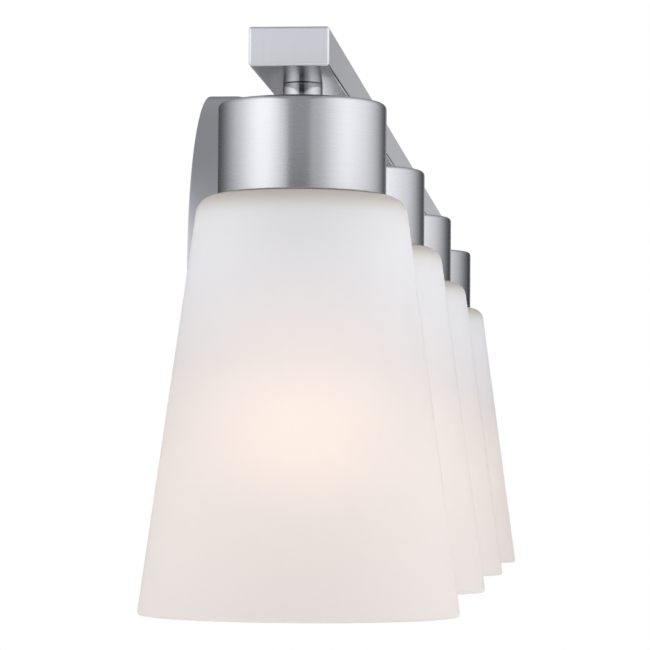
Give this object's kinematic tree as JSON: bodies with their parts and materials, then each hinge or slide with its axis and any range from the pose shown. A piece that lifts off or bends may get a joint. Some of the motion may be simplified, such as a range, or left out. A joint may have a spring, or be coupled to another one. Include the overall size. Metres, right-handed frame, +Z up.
{
  "type": "vanity light bar",
  "caption": "Wall light for above a mirror: round canopy, arm and slim rectangular bar carrying a row of cups with tapered satin-glass shades open downwards and screw-base bulbs.",
  "frame": {"origin": "centre of the canopy's back on the wall, which is the middle of the crossbar's back face", "axes": "+X along the bar, +Y into the wall, +Z up; the light's front faces -Y"},
  "size_m": [0.8556, 0.1428, 0.2421],
  "materials": {
    "brushed_nickel": "fine brushed satin nickel plate",
    "zinc_steel": "bright zinc plate",
    "brass": "pressed, bright",
    "black_resin": "moulded phenolic resin",
    "satin_glass": "acid-etched white glass, satin inside and out",
    "frosted_bulb": "frosted bulb glass, lit",
    "base_aluminium": "rolled screw base",
    "green_steel": "green dyed zinc",
    "black_wire": "smooth insulation",
    "white_wire": "smooth insulation"
  },
  "bodies": {
    "fixture": {"bar": "brushed_nickel", "end_cap_left": "brushed_nickel", "end_cap_right": "brushed_nickel", "arm": "brushed_nickel", "arm_foot_plate": "zinc_steel", "arm_screw_left": "zinc_steel", "arm_screw_right": "zinc_steel", "canopy": "brushed_nickel", "crossbar": "zinc_steel", "ground_screw": "green_steel", "mounting_screw_left": "zinc_steel", "mounting_screw_right": "zinc_steel", "cap_nut_left": "brushed_nickel", "cap_nut_right": "brushed_nickel", "wire_line": "black_wire", "wire_neutral": "white_wire", "neck_1": "brushed_nickel", "cup_1": "brushed_nickel", "nipple_1": "zinc_steel", "locknut_1": "zinc_steel", "socket_body_1": "black_resin", "socket_shell_1": "brass", "socket_contact_1": "brass", "neck_2": "brushed_nickel", "cup_2": "brushed_nickel", "nipple_2": "zinc_steel", "locknut_2": "zinc_steel", "socket_body_2": "black_resin", "socket_shell_2": "brass", "socket_contact_2": "brass", "neck_3": "brushed_nickel", "cup_3": "brushed_nickel", "nipple_3": "zinc_steel", "locknut_3": "zinc_steel", "socket_body_3": "black_resin", "socket_shell_3": "brass", "socket_contact_3": "brass", "neck_4": "brushed_nickel", "cup_4": "brushed_nickel", "nipple_4": "zinc_steel", "locknut_4": "zinc_steel", "socket_body_4": "black_resin", "socket_shell_4": "brass", "socket_contact_4": "brass"},
    "shade_1_with_ring": {"shade_1": "satin_glass", "shade_ring_1": "black_resin"},
    "bulb_1": {"bulb_glass_1": "frosted_bulb", "bulb_base_1": "base_aluminium"},
    "shade_2_with_ring": {"shade_2": "satin_glass", "shade_ring_2": "black_resin"},
    "bulb_2": {"bulb_glass_2": "frosted_bulb", "bulb_base_2": "base_aluminium"},
    "shade_3_with_ring": {"shade_3": "satin_glass", "shade_ring_3": "black_resin"},
    "bulb_3": {"bulb_glass_3": "frosted_bulb", "bulb_base_3": "base_aluminium"},
    "shade_4_with_ring": {"shade_4": "satin_glass", "shade_ring_4": "black_resin"},
    "bulb_4": {"bulb_glass_4": "frosted_bulb", "bulb_base_4": "base_aluminium"}
  },
  "joints": [
    {"name": "shade_1_lower", "type": "slide", "parent": "fixture", "child": "shade_1_with_ring", "axis": [0, 0, -1], "range_m": [0, 0.012]},
    {"name": "bulb_1_unscrew", "type": "slide", "parent": "fixture", "child": "bulb_1", "axis": [0, 0, -1], "range_m": [0, 0.03]},
    {"name": "shade_2_lower", "type": "slide", "parent": "fixture", "child": "shade_2_with_ring", "axis": [0, 0, -1], "range_m": [0, 0.012]},
    {"name": "bulb_2_unscrew", "type": "slide", "parent": "fixture", "child": "bulb_2", "axis": [0, 0, -1], "range_m": [0, 0.03]},
    {"name": "shade_3_lower", "type": "slide", "parent": "fixture", "child": "shade_3_with_ring", "axis": [0, 0, -1], "range_m": [0, 0.012]},
    {"name": "bulb_3_unscrew", "type": "slide", "parent": "fixture", "child": "bulb_3", "axis": [0, 0, -1], "range_m": [0, 0.03]},
    {"name": "shade_4_lower", "type": "slide", "parent": "fixture", "child": "shade_4_with_ring", "axis": [0, 0, -1], "range_m": [0, 0.012]},
    {"name": "bulb_4_unscrew", "type": "slide", "parent": "fixture", "child": "bulb_4", "axis": [0, 0, -1], "range_m": [0, 0.03]}
  ]
}
